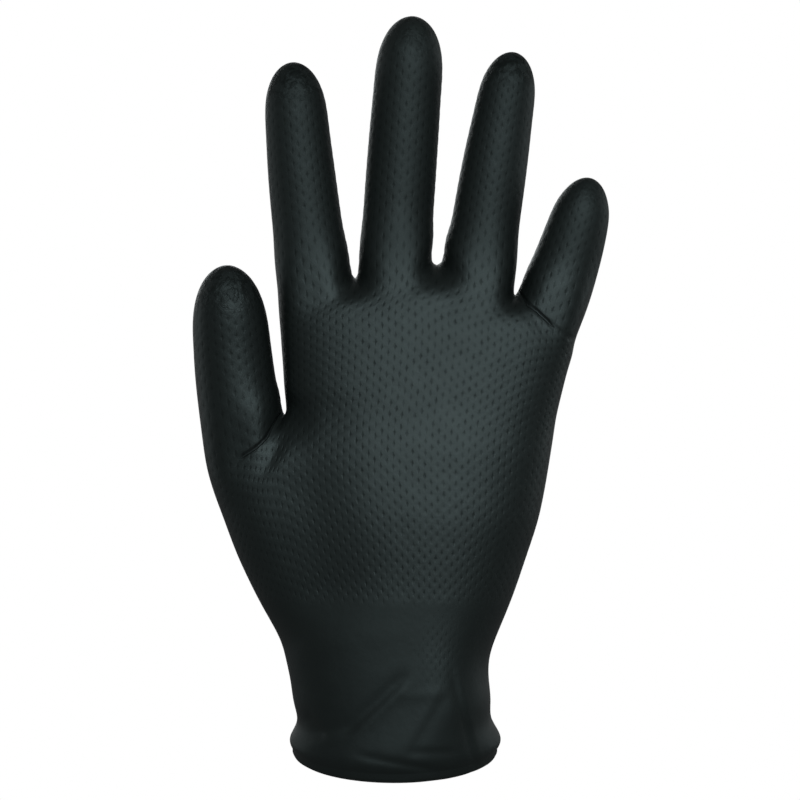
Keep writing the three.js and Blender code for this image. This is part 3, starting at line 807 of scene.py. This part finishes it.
def build_glove():
    build_cage()
    faces = np.array(cage.faces)
    places = fit(np.array(cage.places), faces)
    marks = np.stack(list(cage.marks.values()), axis=1)
    outer = Film(places, faces, marks)
    inner = Film(places, faces, marks)
    for film, levels in ((outer, FINE_LEVELS), (inner, INNER_LEVELS)):
        for _ in range(levels):
            film.refine()
        film.settle()

    grip = grip_share(outer.points)
    line, crease, above, tip = outer.marks.T
    groove = np.clip(line * GROOVE_SHARPNESS - (GROOVE_SHARPNESS - 1), 0, 1)
    below = (above < MARK_MARGIN) * (line < 1 - MARK_MARGIN)
    lip = np.exp(-((line - LIP_PLACE) / LIP_WIDTH) ** 2) * below
    height = fold_height(outer) - PIT * outer.pit * grip * (1 - groove * crease) * (1 - tip)
    height += outer.front() * crease * (LIP_HEIGHT * lip - CREASE_DEPTH * groove)
    inner.lift(fold_height(inner) - FILM)
    outer.lift(height)
    stall = ease((outer.points[:, 2] - FINGER_WEB_HEIGHT + STALL_FADE) / STALL_FADE / 2)

    start = len(outer.points) + len(inner.points)
    bead_points, bead_faces = add_bead(outer, inner, start)
    points = np.concatenate([outer.points, inner.points, np.array(bead_points)]) * MM
    turned_in = inner.faces[:, ::-1] + len(outer.points)
    mesh = bpy.data.meshes.new("glove_film")
    mesh.from_pydata(points.tolist(), [], [*outer.faces.tolist(), *turned_in.tolist(), *bead_faces])
    mesh.shade_smooth()

    rest = np.zeros(len(points) - len(outer.points))
    layers = {"grip": grip * (1 - tip), "crease": crease * line, "tip": tip, "stall": stall}
    for name, values in layers.items():
        attribute = mesh.attributes.new(name, "FLOAT", "POINT")
        attribute.data.foreach_set("value", np.concatenate([values, rest]).astype(np.float32))
    corners = np.zeros((len(mesh.loops), 2), np.float32)
    corners[: outer.lattice.size // 2] = outer.lattice.reshape(-1, 2)
    layer = mesh.uv_layers.new(name="lattice")
    layer.data.foreach_set("uv", corners.ravel())
    return add_object("nitrile_glove", mesh)


def add_object(name, data):
    thing = bpy.data.objects.new(name, data)
    bpy.context.scene.collection.objects.link(thing)
    return thing


class Nodes:
    """Short calls for building a node tree."""

    def __init__(self, owner):
        owner.use_nodes = True
        self.tree = owner.node_tree
        self.tree.nodes.clear()

    def give(self, node, inputs):
        """Links or sets the inputs of a node by their names or places."""
        for key, value in inputs:
            if isinstance(value, bpy.types.NodeSocket):
                self.tree.links.new(value, node.inputs[key])
            else:
                node.inputs[key].default_value = value

    def add(self, kind, inputs=None, **settings):
        node = self.tree.nodes.new(kind)
        for name, value in settings.items():
            setattr(node, name, value)
        self.give(node, (inputs or {}).items())
        return node

    def math(self, operation, *values):
        node = self.add("ShaderNodeMath", operation=operation)
        self.give(node, enumerate(values))
        return node.outputs[0]

    def weighted(self, total, *parts):
        """A total plus each part times its weight."""
        for part, weight in parts:
            total = self.math("MULTIPLY_ADD", part, weight, total)
        return total

    def remap(self, value, span, low=0.0, high=1.0, kind="LINEAR"):
        """A value that goes from low to high over a span of another."""
        inputs = {"Value": value, "From Min": span[0], "From Max": span[1], "To Min": low, "To Max": high}
        return self.add("ShaderNodeMapRange", inputs, interpolation_type=kind).outputs["Result"]

    def mix(self, factor, a, b, kind="RGBA"):
        inputs = {"Factor": factor, "A": a, "B": b}
        return self.add("ShaderNodeMix", inputs, data_type=kind).outputs["Result"]

    def mark(self, name):
        return self.add("ShaderNodeAttribute", attribute_name=name).outputs["Fac"]


def lattice(nodes):
    """The pits and the thin ridges round them, each from 0 to 1."""
    uv = nodes.add("ShaderNodeUVMap", uv_map="lattice")
    parts = nodes.add("ShaderNodeSeparateXYZ", {"Vector": uv.outputs["UV"]})
    across = nodes.math("PINGPONG", parts.outputs["X"], LATTICE_HALF)
    up = nodes.math("PINGPONG", parts.outputs["Y"], LATTICE_HALF)
    away = nodes.math("ADD", across, up)
    nearest = nodes.math("MINIMUM", away, nodes.math("SUBTRACT", 2 * LATTICE_HALF, away))
    middle = nodes.math("MINIMUM", across, nodes.math("SUBTRACT", LATTICE_HALF, across))
    narrowed = nodes.math("MULTIPLY_ADD", middle, PIT_NARROW, nearest)
    pits = nodes.remap(narrowed, (0.0, PIT_SIZE), 1.0, 0.0, "SMOOTHSTEP")
    ridges = nodes.remap(nearest, (LATTICE_HALF - RIDGE_SIZE, LATTICE_HALF))
    return pits, ridges


def nitrile():
    material = bpy.data.materials.new("nitrile")
    nodes = Nodes(material)
    place = nodes.add("ShaderNodeTexCoord").outputs["Object"]
    noises = [nodes.add("ShaderNodeTexNoise", {"Vector": place, **noise}) for noise in NOISES.values()]
    cloud, grain, spots, wrinkles = (noise.outputs["Fac"] for noise in noises)
    grip, tip, stall = (nodes.mark(name) for name in ("grip", "tip", "stall"))
    pits, ridges = (nodes.math("MULTIPLY", part, grip) for part in lattice(nodes))
    pits = nodes.math("MULTIPLY", pits, nodes.remap(spots, PATCHES, PATCH_LEAST))
    # The mark of a crease's groove, which sets both its bump and its painted shade
    groove_and_shade = nodes.remap(nodes.mark("crease"), GROOVE_AND_SHADE_SPAN)
    worn = nodes.math("MULTIPLY", nodes.remap(wrinkles, WORN, kind="SMOOTHSTEP"), tip)

    tone = nodes.weighted(0.0, (cloud, 1 - SPOT_SHARE), (spots, SPOT_SHARE))
    # The groove of a crease is painted near black: painted shade in the crease
    colour = nodes.mix(groove_and_shade, nodes.mix(tone, NITRILE_DARK, NITRILE_LIGHT), CREASE_SHADE_COLOUR)
    rough = nodes.remap(tone, (0.0, 1.0), ROUGH_LOW, ROUGH_HIGH)
    rough = nodes.weighted(rough, (grip, GRIP_ROUGH), (stall, STALL_ROUGH))
    shine = nodes.weighted(SHINE, (grip, GRIP_SHINE), (pits, -PIT_SHADE), (worn, -TIP_SHADE))
    height = nodes.weighted(
        0.0, (pits, -PIT_DEPTH), (ridges, RIDGE_HEIGHT), (grain, GRAIN_HEIGHT),
        (spots, SPOT_HEIGHT), (cloud, CLOUD_HEIGHT), (worn, TIP_HEIGHT), (groove_and_shade, -CUT_DEPTH),
    )
    bump = nodes.add("ShaderNodeBump", {"Strength": 1.0, "Distance": MM, "Height": height})
    shader = nodes.add("ShaderNodeBsdfPrincipled", {
        "Base Color": colour,
        "Roughness": rough,
        "Normal": bump.outputs["Normal"],
        "IOR": NITRILE_IOR,
        "Specular Tint": GLOSS_TINT,
        "Specular IOR Level": shine,
    })
    nodes.add("ShaderNodeOutputMaterial", {"Surface": shader.outputs["BSDF"]})
    return material


def white_for_camera(nodes, other_strength):
    """A strength that is 1 for what the camera sees and another for what lights the glove."""
    camera = nodes.add("ShaderNodeLightPath").outputs["Is Camera Ray"]
    return nodes.mix(camera, other_strength, 1.0, "FLOAT")


def build_floor():
    sides = ((-1, -1), (1, -1), (1, 1), (-1, 1))
    corners = [(x * FLOOR_HALF, y * FLOOR_HALF, FLOOR_HEIGHT) for x, y in sides]
    mesh = bpy.data.meshes.new("floor")
    mesh.from_pydata(corners, [], [(0, 1, 2, 3)])
    material = bpy.data.materials.new("floor_white")
    nodes = Nodes(material)
    glow = nodes.add("ShaderNodeEmission", {"Strength": white_for_camera(nodes, STAGE_WHITE)})
    nodes.add("ShaderNodeOutputMaterial", {"Surface": glow.outputs["Emission"]})
    mesh.materials.append(material)
    floor = add_object("floor", mesh)


def build_sky():
    world = bpy.data.worlds.new("studio")
    bpy.context.scene.world = world
    nodes = Nodes(world)
    way = nodes.add("ShaderNodeTexCoord").outputs["Generated"]
    parts = nodes.add("ShaderNodeSeparateXYZ", {"Vector": way})
    behind = nodes.remap(parts.outputs["Y"], (RIM_FROM, 1.0), WORLD_DIM, WORLD_RIM, "SMOOTHSTEP")
    strength = white_for_camera(nodes, behind)
    sky = nodes.add("ShaderNodeBackground", {"Color": (1, 1, 1, 1), "Strength": strength})
    nodes.add("ShaderNodeOutputWorld", {"Surface": sky.outputs["Background"]})


def build_light(name, place, size, watts):
    light = bpy.data.lights.new(name, "AREA")
    light.shape = "RECTANGLE"
    light.size, light.size_y = size
    light.energy = watts
    light.color = LIGHT_COLOUR
    lamp = add_object(name, light)
    lamp.location = place
    lamp.visible_camera = False
    lamp.rotation_euler = (AIM - Vector(place)).to_track_quat("-Z", "Y").to_euler()


def build_camera():
    camera = add_object("camera", bpy.data.cameras.new("camera"))
    camera.data.sensor_width = SENSOR
    camera.data.lens = SENSOR * CAMERA_DISTANCE / FRAME_WIDTH
    camera.location = (CAMERA_SIDE, -CAMERA_DISTANCE, CAMERA_HEIGHT)
    camera.rotation_euler = (math.pi / 2, 0, 0)
    bpy.context.scene.camera = camera


glove = build_glove()
glove.data.materials.append(nitrile())
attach(glove, "root")
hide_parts("glove_film")
build_floor()
build_sky()
for light in LIGHTS:
    build_light(**light)
build_camera()
bpy.context.scene.view_settings.view_transform = "Standard"
